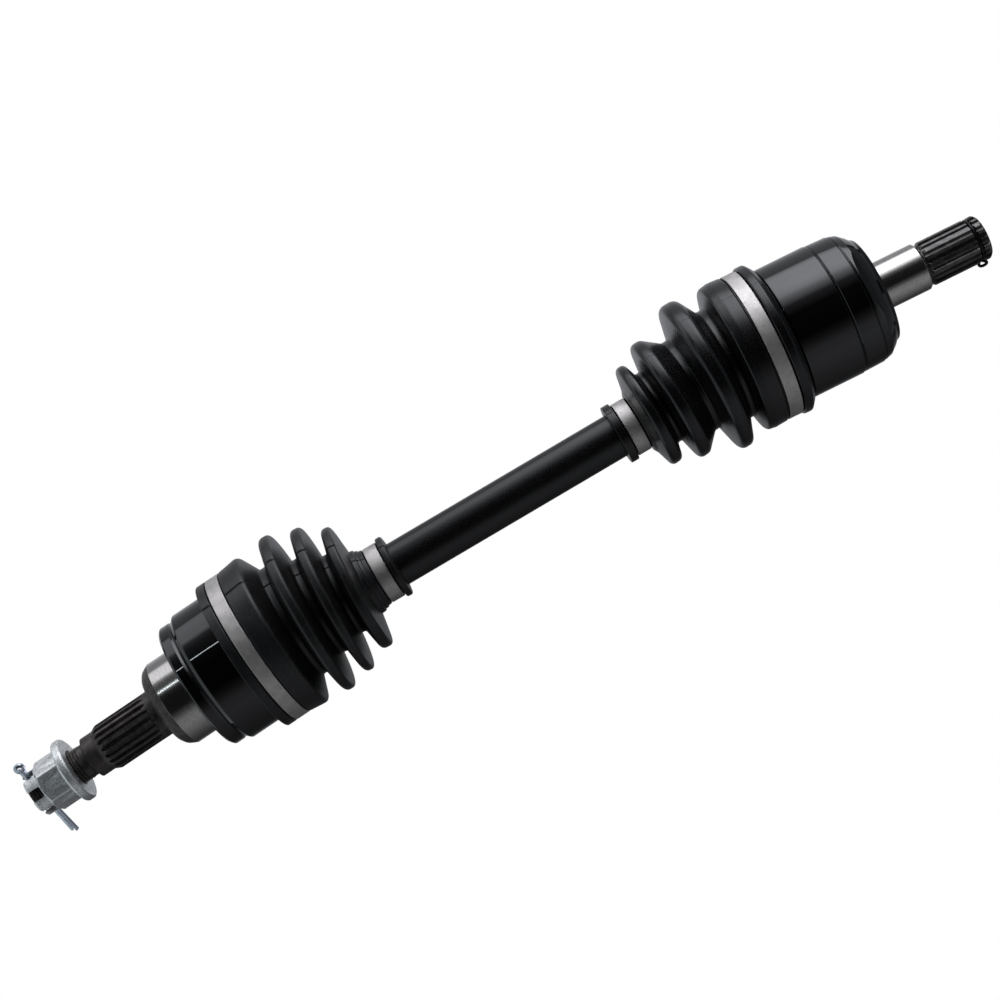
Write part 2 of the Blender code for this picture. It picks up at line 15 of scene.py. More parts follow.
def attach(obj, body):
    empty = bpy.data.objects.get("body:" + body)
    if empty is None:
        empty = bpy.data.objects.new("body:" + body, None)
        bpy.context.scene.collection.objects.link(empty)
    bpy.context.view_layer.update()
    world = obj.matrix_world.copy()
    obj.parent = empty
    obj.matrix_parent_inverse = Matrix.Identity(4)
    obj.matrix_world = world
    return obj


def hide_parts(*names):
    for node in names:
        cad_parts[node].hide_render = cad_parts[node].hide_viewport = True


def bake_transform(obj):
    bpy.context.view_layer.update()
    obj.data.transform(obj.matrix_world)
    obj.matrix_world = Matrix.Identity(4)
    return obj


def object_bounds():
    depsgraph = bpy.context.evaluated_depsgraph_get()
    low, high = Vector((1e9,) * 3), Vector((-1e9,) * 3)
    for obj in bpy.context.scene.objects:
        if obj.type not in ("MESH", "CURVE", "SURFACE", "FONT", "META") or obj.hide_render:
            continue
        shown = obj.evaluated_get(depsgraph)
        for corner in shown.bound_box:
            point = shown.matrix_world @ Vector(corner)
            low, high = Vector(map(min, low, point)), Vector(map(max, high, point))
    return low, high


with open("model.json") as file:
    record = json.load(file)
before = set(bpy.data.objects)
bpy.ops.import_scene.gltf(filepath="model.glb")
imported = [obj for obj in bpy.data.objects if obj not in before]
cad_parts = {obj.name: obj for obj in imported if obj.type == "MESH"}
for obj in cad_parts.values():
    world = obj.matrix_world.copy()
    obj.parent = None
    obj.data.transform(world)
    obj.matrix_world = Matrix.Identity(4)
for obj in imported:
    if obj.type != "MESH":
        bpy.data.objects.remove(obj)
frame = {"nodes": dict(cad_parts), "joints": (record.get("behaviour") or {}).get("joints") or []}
CAD_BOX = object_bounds()

MM = 0.001
TAU = math.tau
COLUMNS = 168
UP = 90.0

# shaft and joint mechanism, as the CAD has them
BAR = 11.35
BALLS = 6
TRACK_CLEARANCE = 1.0
OUTBOARD = {"pitch": 24.0, "ball": 7.5, "bore": 27.0}
INBOARD = {"pitch": 23.5, "ball": 7.2, "bore": 26.5}

# hub stub
THREAD = {"radius": 8.85, "pitch": 1.5, "depth": 0.8, "end": -98.6}
HUB_TEETH = 20
HUB_TIP = 12.4
HUB_GROOVE = 1.75
COTTER_X = -125.0
COTTER_ANGLE = 30.0
COTTER_HOLE = 2.1

# castle nut
NUT_FLAT = 12.0
NUT_CORNER = 13.62
NUT_HEX = (-121.2, -108.3)
NUT_SLOT = 5.6

# gearbox stub
GEARBOX_TEETH = 18
GEARBOX_TIP = 11.55
GEARBOX_ROOT = 10.3
CIRCLIP_X = 89.4

# boots
BOOT_WALL = 1.6
PARTING_ANGLES = (45.0, 225.0)
PARTING_DEPTH = {"outboard": 0.5, "inboard": 0.15}


# ---------------------------------------------------------------- materials

def material(name, dark, light, metallic, roughness, size, stretch=(1, 1, 1), grain=0.5, height=0.02,
             wave=0.0, speck=None, coat=0.0, specular=0.5):
    """A surface whose colour drifts over patches of one size, with a finer grain in its roughness and relief.

    Sizes are in millimetres. Stretch squeezes the pattern along an axis, so that a large number on X draws
    the fine rings of a lathe. Speck is (colour, how common, size) of small spots.
    """
    made = bpy.data.materials.new(name)
    made.use_nodes = True
    nodes, links = made.node_tree.nodes, made.node_tree.links
    shader = nodes["Principled BSDF"]
    shader.inputs["Metallic"].default_value = metallic
    shader.inputs["Specular IOR Level"].default_value = specular
    if coat:
        shader.inputs["Coat Weight"].default_value = coat
        shader.inputs["Coat Roughness"].default_value = 0.035
        shader.inputs["Coat IOR"].default_value = 1.6
    place = nodes.new("ShaderNodeTexCoord")
    squeeze = nodes.new("ShaderNodeMapping")
    squeeze.inputs["Scale"].default_value = stretch
    links.new(place.outputs["Object"], squeeze.inputs["Vector"])

    def noise(across, detail, vector):
        made_noise = nodes.new("ShaderNodeTexNoise")
        made_noise.inputs["Scale"].default_value = 1.0 / (across * MM)
        made_noise.inputs["Detail"].default_value = detail
        links.new(vector, made_noise.inputs["Vector"])
        return made_noise.outputs["Fac"]

    def span(value, low, high, first, last):
        made_span = nodes.new("ShaderNodeMapRange")
        for socket, number in zip(("From Min", "From Max", "To Min", "To Max"), (low, high, first, last)):
            made_span.inputs[socket].default_value = number
        links.new(value, made_span.inputs["Value"])
        return made_span.outputs["Result"]

    def mixed(share, first, second):
        made_mix = nodes.new("ShaderNodeMix")
        made_mix.data_type = "RGBA"
        links.new(share, made_mix.inputs["Factor"])
        for socket, value in (("A", first), ("B", second)):
            target = next(i for i in made_mix.inputs if i.name == socket and i.type == "RGBA")
            if isinstance(value, tuple):
                target.default_value = (*value, 1.0)
            else:
                links.new(value, target)
        return next(o for o in made_mix.outputs if o.type == "RGBA")

    patches = noise(size, 5.0, squeeze.outputs["Vector"])
    fine = noise(grain, 3.0, squeeze.outputs["Vector"])
    colour = mixed(span(patches, 0.35, 0.65, 0.0, 1.0), dark, light)
    if speck:
        spot_colour, share, spot_size = speck
        spots = noise(spot_size, 2.0, place.outputs["Object"])
        colour = mixed(span(spots, 0.66 - share, 0.70 - share, 0.0, 1.0), colour, spot_colour)
    links.new(colour, shader.inputs["Base Color"])
    links.new(span(fine, 0.3, 0.7, *roughness), shader.inputs["Roughness"])
    bump = nodes.new("ShaderNodeBump")
    bump.inputs["Strength"].default_value = 1.0
    bump.inputs["Distance"].default_value = height * MM
    links.new(fine, bump.inputs["Height"])
    links.new(bump.outputs["Normal"], shader.inputs["Normal"])
    if wave:
        swell = nodes.new("ShaderNodeBump")
        swell.inputs["Strength"].default_value = 1.0
        swell.inputs["Distance"].default_value = wave * MM
        links.new(patches, swell.inputs["Height"])
        links.new(swell.outputs["Normal"], bump.inputs["Normal"])
        if coat:
            links.new(swell.outputs["Normal"], shader.inputs["Coat Normal"])
    return made


PAINT = material("gloss black paint", (0.0006, 0.0007, 0.0008), (0.0014, 0.0015, 0.0018), 0.0, (0.3, 0.4),
                 5.0, grain=1.2, height=0.003, wave=0.009, coat=1.0, specular=0.0)
BAR_PAINT = material("satin black paint", (0.0035, 0.0035, 0.004), (0.006, 0.006, 0.0065), 0.0, (0.24, 0.32),
                     9.0, stretch=(1, 2, 2), grain=1.0, height=0.003)
RUBBER = material("moulded rubber", (0.003, 0.003, 0.0034), (0.0085, 0.0085, 0.009), 0.0, (0.32, 0.46), 7.0,
                  grain=0.7, height=0.03, wave=0.1, speck=((0.04, 0.039, 0.037), 0.03, 0.8))
SMOOTH_RUBBER = material("smooth rubber", (0.0022, 0.0022, 0.0026), (0.005, 0.005, 0.0056), 0.0, (0.22, 0.3),
                         9.0, grain=1.1, height=0.006, wave=0.08, speck=((0.02, 0.019, 0.018), 0.004, 0.9))
BAND = material("satin strip", (0.52, 0.5, 0.485), (0.64, 0.61, 0.59), 1.0, (0.46, 0.6), 5.0,
                grain=0.6, height=0.012, wave=0.02, speck=((0.4, 0.37, 0.35), 0.002, 1.1))
ZINC = material("bright zinc", (0.78, 0.8, 0.8), (0.94, 0.96, 0.96), 1.0, (0.34, 0.55), 2.2,
                grain=0.55, height=0.07, wave=0.04, speck=((0.28, 0.29, 0.29), 0.04, 0.8))
PIN_ZINC = material("pin zinc", (0.5, 0.56, 0.64), (0.72, 0.78, 0.86), 1.0, (0.22, 0.34), 3.0,
                    grain=0.5, height=0.02)
GROUND = material("ground steel", (0.44, 0.425, 0.41), (0.54, 0.515, 0.5), 1.0, (0.12, 0.19), 3.0,
                  stretch=(9, 1, 1), grain=1.2, height=0.0015, speck=((0.2, 0.18, 0.17), 0.004, 0.6))
PHOSPHATE = material("dark phosphate", (0.05, 0.043, 0.041), (0.1, 0.088, 0.082), 0.6, (0.34, 0.5), 3.5,
                     grain=0.5, height=0.03, speck=((0.11, 0.098, 0.085), 0.015, 0.7))
TOOTH_STEEL = material("dark tooth steel", (0.07, 0.067, 0.066), (0.13, 0.125, 0.123), 0.9, (0.26, 0.38),
                       3.0, grain=0.5, height=0.01, speck=((0.16, 0.15, 0.14), 0.01, 0.6))
SPRING = material("dark spring steel", (0.015, 0.015, 0.017), (0.03, 0.03, 0.033), 0.9, (0.22, 0.34), 3.0,
                  grain=0.5, height=0.01)
BEARING = material("polished bearing steel", (0.5, 0.5, 0.51), (0.62, 0.62, 0.63), 1.0, (0.1, 0.18), 4.0,
                   grain=0.6, height=0.003)


# ---------------------------------------------------------------- shapes

def joint_frame(name):
    """The place of a hinge, with X along the axis of the piece that the hinge turns."""
    hinge = next(j for j in frame["joints"] if j["name"] == name)
    turn = math.atan2(-hinge["axis"][0], hinge["axis"][1])
    return Matrix.Translation(hinge["pos_m"]) @ Matrix.Rotation(turn, 4, "Z")


def half_way(place):
    """The same place with half its turn, as the cage and its balls stand."""
    turn = place.to_euler().z / 2
    return Matrix.Translation(place.translation) @ Matrix.Rotation(turn, 4, "Z")


def outline(corners, longest=None, closed=False):
    """Points through the corners, each rounded one drawn as an arc, and no step over the longest."""
    points = []
    count = len(corners)
    for k, (x, r, *rounding) in enumerate(corners):
        here = Vector((x, r))
        ends = not closed and k in (0, count - 1)
        if ends or not rounding:
            points.append(here)
            continue
        back = Vector(corners[k - 1][:2]) - here
        on = Vector(corners[(k + 1) % count][:2]) - here
        turn = math.pi - back.angle(on)
        if turn < 0.02:
            points.append(here)
            continue
        reach = min(rounding[0] * math.tan(turn / 2), 0.495 * back.length, 0.495 * on.length)
        centre = here + (back.normalized() + on.normalized()).normalized() * (reach / math.sin(turn / 2))
        first = here + back.normalized() * reach - centre
        last = here + on.normalized() * reach - centre
        steps = max(2, math.ceil(turn / math.radians(11)))
        for s in range(steps + 1):
            before, after = math.sin((1 - s / steps) * turn), math.sin(s / steps * turn)
            points.append(centre + (first * before + last * after) / math.sin(turn))
    if longest:
        fine = [points[0]]
        for point in points[1:]:
            steps = max(1, math.ceil((point - fine[-1]).length / longest))
            fine += [fine[-1].lerp(point, s / steps) for s in range(1, steps + 1)]
        points = fine
    return np.array(points)


def round_angles(count=COLUMNS, extra=()):
    """Angles in degrees round a turned piece, evenly spaced, with some more where detail is fine."""
    return np.unique(np.round(np.concatenate([np.arange(count) * 360.0 / count, *extra]) % 360, 4))


def skin(points, loop=False):
    """A closed skin over rows of points that each go round; a loop's last row joins its first."""
    rows, columns, _ = points.shape
    number = np.arange(rows * columns).reshape(rows, columns)
    if loop:
        number = np.vstack([number, number[:1]])
    after = np.roll(number, -1, axis=1)
    faces = np.stack([number[:-1], number[1:], after[1:], after[:-1]], -1).reshape(-1, 4)
    mesh = bpy.data.meshes.new("skin")
    mesh.from_pydata((points.reshape(-1, 3) * MM).tolist(), [], faces.tolist())
    bm = bmesh.new()
    bm.from_mesh(mesh)
    bmesh.ops.remove_doubles(bm, verts=bm.verts, dist=2e-7)
    bmesh.ops.recalc_face_normals(bm, faces=bm.faces)
    bm.to_mesh(mesh)
    bm.free()
    return mesh


def turned(xs, radii, angles=None, loop=False):
    """A skin turned about X, with one radius for each row or one for each row and angle."""
    angles = np.radians(round_angles() if angles is None else angles)
    xs = np.asarray(xs, float)
    radii = np.asarray(radii, float).reshape(len(xs), -1) * np.ones(len(angles))
    across = xs[:, None] * np.ones(len(angles))
    return skin(np.stack([across, radii * np.cos(angles), radii * np.sin(angles)], -1), loop)


def lathe(corners, closed=False, longest=None):
    """A plain turned solid. A closed outline is a ring; an open one starts and ends on the axis."""
    points = outline(corners, longest, closed)
    return turned(points[:, 0], points[:, 1], loop=closed)


def smooth_path(points, steps=5):
    """A soft curve through the points."""
    points = np.array(points)
    p = np.array([2 * points[0] - points[1], *points, 2 * points[-1] - points[-2]])
    path = []
    for a, b, c, d in zip(p, p[1:], p[2:], p[3:]):
        for t in np.arange(steps) / steps:
            bow = (2 * a - 5 * b + 4 * c - d) * t ** 2 + (3 * b - a - 3 * c + d) * t ** 3
            path.append(b + (c - a) * t / 2 + bow / 2)
    return np.array([*path, p[-2]])


def swept(path, section, side, tip):
    """A section of (across, along side) points carried along a path, its ends rounded over a tip's length."""
    path = np.asarray(path, float)
    section = np.asarray(section, float)
    along = np.gradient(path, axis=0)
    along /= np.linalg.norm(along, axis=1)[:, None]
    side = np.asarray(side, float)
    rows = []
    for point, way in zip(path, along):
        side = side - way * side.dot(way)
        side /= np.linalg.norm(side)
        rows.append(point + section[:, :1] * np.cross(side, way) + section[:, 1:] * side)
    caps = []
    for row, point, way in ((rows[0], path[0], -along[0]), (rows[-1], path[-1], along[-1])):
        middle = row.mean(axis=0)
        turns = np.radians([22, 45, 68, 90])
        caps.append([middle + (row - middle) * math.cos(t) + way * tip * math.sin(t) for t in turns])
    return skin(np.array([*caps[0][::-1], *rows, *caps[1]]))


def circle(radius, sides=14):
    turns = np.arange(sides) * TAU / sides
    return np.stack([radius * np.cos(turns), radius * np.sin(turns)], -1)


def smooth_step(value, low, high):
    """0 below low, 1 above high, and an S curve between; low may be the larger."""
    part = np.clip((value - low) / (high - low), 0, 1)
    return part * part * (3 - 2 * part)


def from_middle(angles, turn, pitch=360.0):
    """How far each angle is from the nearest of the places at turn, turn + pitch, ..."""
    return np.abs((angles - turn + pitch / 2) % pitch - pitch / 2)


def piece(name, mesh, place, look, body, slot, *replaced, sharp=32):
    """One object of the visual model, riding on a body, or on none when body is None."""
    made = bpy.data.objects.new(name, mesh)
    bpy.context.scene.collection.objects.link(made)
    mesh.name = name
    mesh.materials.append(look)
    mesh.shade_smooth()
    mesh.set_sharp_from_angle(angle=math.radians(sharp))
    made.matrix_world = place
    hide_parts(*replaced)
    if body:
        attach(made, body)
    return made


def cut(made, mesh):
    """Take the mesh, which stands in the same place, out of the piece."""
    cutter = bpy.data.objects.new("cutter", mesh)
    bpy.context.scene.collection.objects.link(cutter)
    cutter.matrix_world = made.matrix_world
    modifier = made.modifiers.new("cut", "BOOLEAN")
    modifier.operation, modifier.solver, modifier.object = "DIFFERENCE", "EXACT", cutter
    bpy.context.view_layer.update()
    result = bpy.data.meshes.new_from_object(made.evaluated_get(bpy.context.evaluated_depsgraph_get()))
    made.modifiers.remove(modifier)
    result.name = made.name
    made.data = result
    bpy.data.objects.remove(cutter)
    result.shade_smooth()
    result.set_sharp_from_angle(angle=math.radians(32))


BELL = joint_frame("outboard_bell_y")
CAN = joint_frame("inboard_can_y")
OUTBOARD_SHAFT = joint_frame("outboard_bend_y")
INBOARD_SHAFT = joint_frame("inboard_bend_y")
ROW = Matrix.Identity(4)


# ---------------------------------------------------------------- outboard joint

def arc_tracks(xs, sizes, angles):
    """Radius of the wall of six ball tracks that curve about the joint's centre, at each x and angle."""
    off = np.radians(from_middle(angles, UP, 360.0 / BALLS))[None, :]
    x = xs[:, None]
    tube = sizes["ball"] + TRACK_CLEARANCE
    low = np.sqrt(np.maximum(sizes["pitch"] ** 2 - x ** 2, 0)) * np.ones_like(off)
    high = low + tube + 2
    inside = np.zeros_like(low, bool)
    for _ in range(30):
        middle = (low + high) / 2
        reach = np.hypot(x, middle * np.cos(off)) - sizes["pitch"]
        inside = reach ** 2 + (middle * np.sin(off)) ** 2 < tube ** 2
        low, high = np.where(inside, middle, low), np.where(inside, high, middle)
    return low


def bell():
    """The bell, open at its mouth, with six ball tracks in its bore."""
    corners = [(-32.4, 0), (-32.4, 32.5, 0.7), (-31.1, 33.95, 0.7), (-26.7, 33.9, 0.6), (-25.4, 33.1, 0.5),
               (-22.6, 35.85, 1.3), (-5.6, 35.85, 0.4), (-5.1, 34.2, 0.3), (8.2, 34.2, 0.5), (9.5, 33.0, 0.3),
               (9.5, 29.5)]
    outer = outline(corners)
    bore = OUTBOARD["bore"]
    inner = np.array([(x, math.sqrt(bore ** 2 - x * x)) for x in np.arange(5.5, -bore, -0.5)])
    cone = np.array([(9.5 - s, 29.5 - 0.77 * s) for s in np.arange(0.0, 4.0, 0.5)])
    hollow = np.vstack([cone, inner, [(-bore, 0.0)]])
    angles = round_angles()
    radii = hollow[:, 1:] * np.ones(len(angles))
    tracks = arc_tracks(hollow[:, 0], OUTBOARD, angles)
    track_end = -21.0
    reached = (hollow[:, :1] > track_end) & (tracks > radii)
    radii = np.where(reached, tracks, radii)
    outer_radii = outer[:, 1:] * np.ones(len(angles))
    mesh = turned(np.concatenate([outer[:, 0], hollow[:, 0]]), np.vstack([outer_radii, radii]), angles)
    piece("outboard_bell", mesh, BELL, PAINT, "outboard_housing", "gloss_black", "outboard_housing")


def hub_seat():
    """The ground seat behind the hub, and the dark shoulder in front of it."""
    shoulder = [(-52.5, 0), (-52.5, 18.1, 1.0), (-50.6, 20.9, 5.0), (-46.5, 22.95), (-46.5, 0)]
    piece("hub_shoulder", lathe(shoulder), BELL, PHOSPHATE, "outboard_housing", "phosphate",
          "outboard_housing")
    seat = [(-46.5, 0), (-46.5, 22.95, 0.15), (-32.2, 22.95), (-32.2, 0)]
    piece("hub_seat", lathe(seat, longest=1.0), BELL, GROUND, "outboard_housing", "ground_steel",
          "outboard_housing")


def hub_stub():
    """The stub from its threaded tip to the shoulder, with the spline's grooves run out at both ends."""
    corners = [(-128.5, 0), (-128.5, 8.2, 0.2), (-127.8, 8.85, 0.2), (THREAD["end"], 8.85),
               (-97.9, 8.6, 0.4), (-95.6, 8.6, 0.5), (-94.5, 10.85, 0.4), (-87.9, 10.85, 0.6),
               (-84.6, HUB_TIP, 1.5), (-52.3, HUB_TIP), (-52.3, 0)]
    points = outline(corners, longest=0.6)
    screw = np.arange(-127.6, THREAD["end"] + 1.0, 0.125)
    on_screw = np.interp(screw, points[2:, 0], points[2:, 1])
    before = points[points[:, 0] < -127.6]
    after = points[points[:, 0] > THREAD["end"] + 1.0]
    rows = np.vstack([before, np.stack([screw, on_screw], -1), after])
    angles = round_angles(HUB_TEETH * 12)
    x, base = rows[:, :1], rows[:, 1:]
    turn = (x / THREAD["pitch"] - angles / 360.0) % 1.0
    ridge = smooth_step(np.abs(turn - 0.5) * 2, 0.2, 0.85)
    fade = smooth_step(x, -127.6, -126.4) * smooth_step(x, THREAD["end"] + 0.6, THREAD["end"] - 0.9)
    radii = base - THREAD["depth"] * ridge * fade
    first, last, half_groove = -83.2, -61.0, 5.6
    beyond = np.maximum(np.maximum((x - last) / 4.6, (first - x) / 3.4), 0)
    across = from_middle(angles, 0.0, 360.0 / HUB_TEETH) / half_groove
    groove = smooth_step(np.hypot(across, beyond), 1.0, 0.62)
    in_spline = (x > -88) & (x < -54)
    radii = np.where(in_spline, np.maximum(radii - HUB_GROOVE * groove, 8.0), radii)
    made = piece("hub_stub", turned(rows[:, 0], radii, angles), BELL, PHOSPHATE, "outboard_housing",
                 "phosphate", "outboard_housing")
    drill = np.array([0, math.cos(math.radians(COTTER_ANGLE)), math.sin(math.radians(COTTER_ANGLE))])
    hole = [np.array([COTTER_X, 0, 0]) + drill * way for way in (-12.0, -4.0, 4.0, 12.0)]
    cut(made, swept(hole, circle(COTTER_HOLE, 24), (1, 0, 0), 0.5))


def castle_nut():
    """A hexagon between a crown with six slots and a flange."""
    base = outline([(-128.3, 10.6, 0.3), (-127.2, 11.8, 0.5), (NUT_HEX[0] - 0.02, 11.8), (NUT_HEX[0], 11.81),
                    (NUT_HEX[1] - 0.7, 12.6), (NUT_HEX[1] - 0.3, 13.7, 0.4), (-107.6, 16.5, 0.5),
                    (-106.9, 17.0, 0.5), (-104.2, 17.0, 0.4), (-103.4, 16.2, 0.2), (-103.4, 15.6)],
                   longest=0.25)
    angles = round_angles()
    x = base[:, :1]
    hexagon = np.minimum(NUT_FLAT / np.cos(np.radians(angles % 60 - 30)), NUT_CORNER)
    cone = NUT_FLAT - 0.15 + (x - NUT_HEX[0]) * 1.25
    prism = np.where((x >= NUT_HEX[0]) & (x <= NUT_HEX[1]), np.minimum(hexagon, cone), 0)
    outer = np.maximum(base[:, 1:], prism)
    bore = outline([(-103.4, 10.1), (-104.3, 9.15, 0.2), (-127.3, 9.15, 0.2), (-128.3, 10.0)], longest=1.5)
    rows = np.concatenate([base[:, 0], bore[:, 0]])
    radii = np.vstack([outer, bore[:, 1:] * np.ones(len(angles))])
    made = piece("castle_nut", turned(rows, radii, angles, loop=True), BELL, ZINC, "outboard_housing", "zinc",
                 "castle_flange_nut")
    # each cut runs right across the crown and so makes two slots, with the floor rounded into the walls
    half, floor, corner = NUT_SLOT / 2, NUT_HEX[0] - 0.2, 1.1
    bend = [(floor - corner + corner * math.sin(t), half - corner + corner * math.cos(t))
            for t in np.radians([0, 30, 60, 90])]
    shape = [(-132.0, half), *bend, *((a, -b) for a, b in bend[::-1]), (-132.0, -half)]
    for k in range(3):
        turn = math.radians(COTTER_ANGLE + 60 * k)
        out = np.array([0, math.cos(turn), math.sin(turn)])
        side = np.array([0, -math.sin(turn), math.cos(turn)])
        rows = [[np.array([a, 0, 0]) + side * b + out * way for a, b in shape] for way in (-20.0, 20.0)]
        ends = [[np.mean(row, axis=0)] * len(shape) for row in rows]
        cut(made, skin(np.array([ends[0], *rows, ends[1]])))


def cotter_pin():
    """Half-round wire doubled into an eye and two legs of unequal length."""
    half, eye, middle, apart = 1.8, 1.3, 17.6, 0.12
    side = [(0.0, 0.86), (0.36, 0.78), (0.64, 0.56), (0.84, 0.28)]
    wire = [(-half * a, -half * b) for a, b in side] + [(-half * 0.9, 0.0)]
    wire += [(-half * a, half * b) for a, b in side[::-1]]
    bend = [(middle + eye * math.cos(t), eye * math.sin(t)) for t in np.radians(np.linspace(135, -135, 29))]
    neck = middle - 2.6
    long_leg = smooth_path([(-29.0, 0.3), (-22.0, 0.2), (-14.5, apart), (0, apart), (neck, apart), bend[0]])
    short_leg = smooth_path([(-27.6, -0.3), (-21.0, -0.2), (-14.5, -apart), (0, -apart), (neck, -apart),
                             bend[-1]])
    course = [*long_leg[:-1], *bend, *short_leg[-2::-1]]
    turn = math.radians(COTTER_ANGLE)
    drill = np.array([0, math.cos(turn), math.sin(turn)])
    path = [np.array([COTTER_X + across, 0, 0]) + drill * along for along, across in course]
    mesh = swept(path, wire, np.cross((1, 0, 0), drill), 0.5)
    piece("split_pin", mesh, BELL, PIN_ZINC, "outboard_housing", "zinc", "cotter_pin", sharp=50)


# ---------------------------------------------------------------- inboard joint

def can():
    """The can without its stub: a ring whose bore has six ball tracks and ends in the spring's pocket."""
    outer = outline([(-32.5, 28.5), (-32.5, 33.2, 0.4), (-15.2, 33.2, 0.3), (-14.8, 34.5, 0.5),
                     (12.1, 34.5, 0.3), (12.9, 33.45, 0.15), (13.7, 34.15, 0.3), (23.7, 33.85, 0.3),
                     (24.4, 33.0, 0.15), (25.1, 33.4, 0.3), (28.3, 32.5, 1.2), (31.6, 29.7, 0.7),
                     (33.2, 27.8, 0.9), (34.9, 27.0, 0.6), (35.6, 24.4, 0.2), (35.6, 7.5)])
    hollow = outline([(35.0, 7.5), (27.0, 7.5), (27.0, 20.0, 0.5), (22.0, 26.5, 0.5), (-25.3, 26.5),
                      (-25.3, 28.2), (-27.5, 28.2), (-27.5, 26.5), (-32.4, 26.5)], longest=2.0)
    angles = round_angles()
    centre, tube = INBOARD["pitch"] - 0.7, INBOARD["ball"] + TRACK_CLEARANCE
    off = np.radians(from_middle(angles, UP, 360.0 / BALLS))
    root = tube ** 2 - (centre * np.sin(off)) ** 2
    track = np.where(root > 0, centre * np.cos(off) + np.sqrt(np.maximum(root, 0)), 0)
    x, base = hollow[:, :1], hollow[:, 1:]
    track_end = 23.5
    radii = np.where(x < track_end, np.maximum(base, track), base)
    rows = np.concatenate([outer[:, 0], hollow[:, 0]])
    ring = np.vstack([outer[:, 1:] * np.ones(len(angles)), radii])
    piece("inboard_can", turned(rows, ring, angles, loop=True), CAN, PAINT, "inboard_housing", "gloss_black",
          "inboard_housing")


def journal():
    """The ground journal, with the spring's blind pocket in it."""
    corners = [(52.0, 0), (52.0, 7.5), (35.4, 7.5), (35.4, 12.2), (60.3, 12.2, 0.25), (61.6, 11.0, 0.15),
               (61.6, 0)]
    piece("seal_journal", lathe(corners, longest=1.0), CAN, GROUND, "inboard_housing", "ground_steel",
          "inboard_housing")


def gearbox_stub():
    corners = [(61.4, 0), (61.4, 9.9), (62.2, 10.0), (63.6, GEARBOX_TIP, 0.8), (88.2, GEARBOX_TIP, 0.2),
               (88.35, 9.6, 0.2), (90.45, 9.6, 0.2), (90.6, GEARBOX_TIP, 0.2), (93.4, GEARBOX_TIP, 0.4),
               (94.6, 10.2, 0.2), (94.6, 0)]
    points = outline(corners, longest=0.7)
    angles = round_angles(GEARBOX_TEETH * 12)
    base = points[:, 1:] * np.ones(len(angles))
    wave = np.clip(0.55 + 0.85 * np.cos(np.radians(angles * GEARBOX_TEETH)), 0, 1)
    tooth = GEARBOX_ROOT + (GEARBOX_TIP - GEARBOX_ROOT) * wave * wave * (3 - 2 * wave)
    piece("gearbox_stub", turned(points[:, 0], np.minimum(base, tooth), angles), CAN, TOOTH_STEEL,
          "inboard_housing", "phosphate", "inboard_housing")


def stub_circlip():
    """A wire ring with a small loop standing out of its groove at one end."""
    turn = math.radians(190)
    out = np.array([0, math.cos(turn), math.sin(turn)])
    eye = [(-1.7, 11.6), (-2.0, 12.3), (-1.4, 13.1), (0.2, 13.45), (1.8, 13.1), (2.1, 12.3), (1.2, 11.6)]
    path = [out * r + np.array([CIRCLIP_X + x, 0, 0]) for x, r in eye]
    for k in range(41):
        a = turn + 0.06 + math.radians(332) * k / 40
        path.append(np.array([CIRCLIP_X, 10.6 * math.cos(a), 10.6 * math.sin(a)]))
    mesh = swept(smooth_path(path), circle(0.75, 12), np.cross(out, (1, 0, 0)), 0.4)
    piece("lock_ring", mesh, CAN, SPRING, "inboard_housing", "spring_steel", "stub_circlip", sharp=60)


def plunge_spring():
    turns, first, last, radius = 5, 21.1, 50.9, 5.6
    steps = np.linspace(0, 1, turns * 28 + 1)
    rise = first + (last - first) * steps
    angle = TAU * turns * steps
    path = np.stack([rise, radius * np.cos(angle), radius * np.sin(angle)], -1)
    made = piece("coil_spring", swept(path, circle(0.8, 10), (1, 0, 0), 0.4), CAN, SPRING, None,
                 "spring_steel", "plunge_spring", sharp=60)
    cup_end, can_end = (CAN @ Vector((x * MM, 0, 0)) for x in (22.6, 50.0))
    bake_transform(made)
    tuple(cup_end)
    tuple(can_end)


# ---------------------------------------------------------------- shaft, balls and clamps

def shaft():
    """The bar from joint to joint, with a seat for each race, a groove for its ring and a domed nose."""
    out, inn = (1000 * place.translation.x for place in (OUTBOARD_SHAFT, INBOARD_SHAFT))
    corners = [(out - 14.3, 0), (out - 14.3, 9.6, 0.3), (out - 13.5, 10.2, 0.2), (out - 12.4, 10.2),
               (out - 12.4, 9.1), (out - 10.2, 9.1), (out - 10.2, 9.5), (out + 10.3, 9.5), (out + 10.3, 9.1),
               (out + 12.5, BAR, 0.5), (inn - 12.0, BAR, 0.5), (inn - 9.8, 9.1), (inn - 9.8, 9.5),
               (inn + 9.7, 9.5), (inn + 9.7, 9.1), (inn + 11.9, 9.1), (inn + 11.9, 10.2),
               (inn + 12.8, 10.2, 0.2), (inn + 13.4, 5.5)]
    dome = 17.0
    nose = [(inn + dome * math.cos(a), dome * math.sin(a)) for a in np.linspace(math.asin(5.5 / dome), 0, 8)]
    piece("drive_bar", lathe([*corners, *nose], longest=3.0), ROW, BAR_PAINT, "shaft", "satin_black", "shaft")


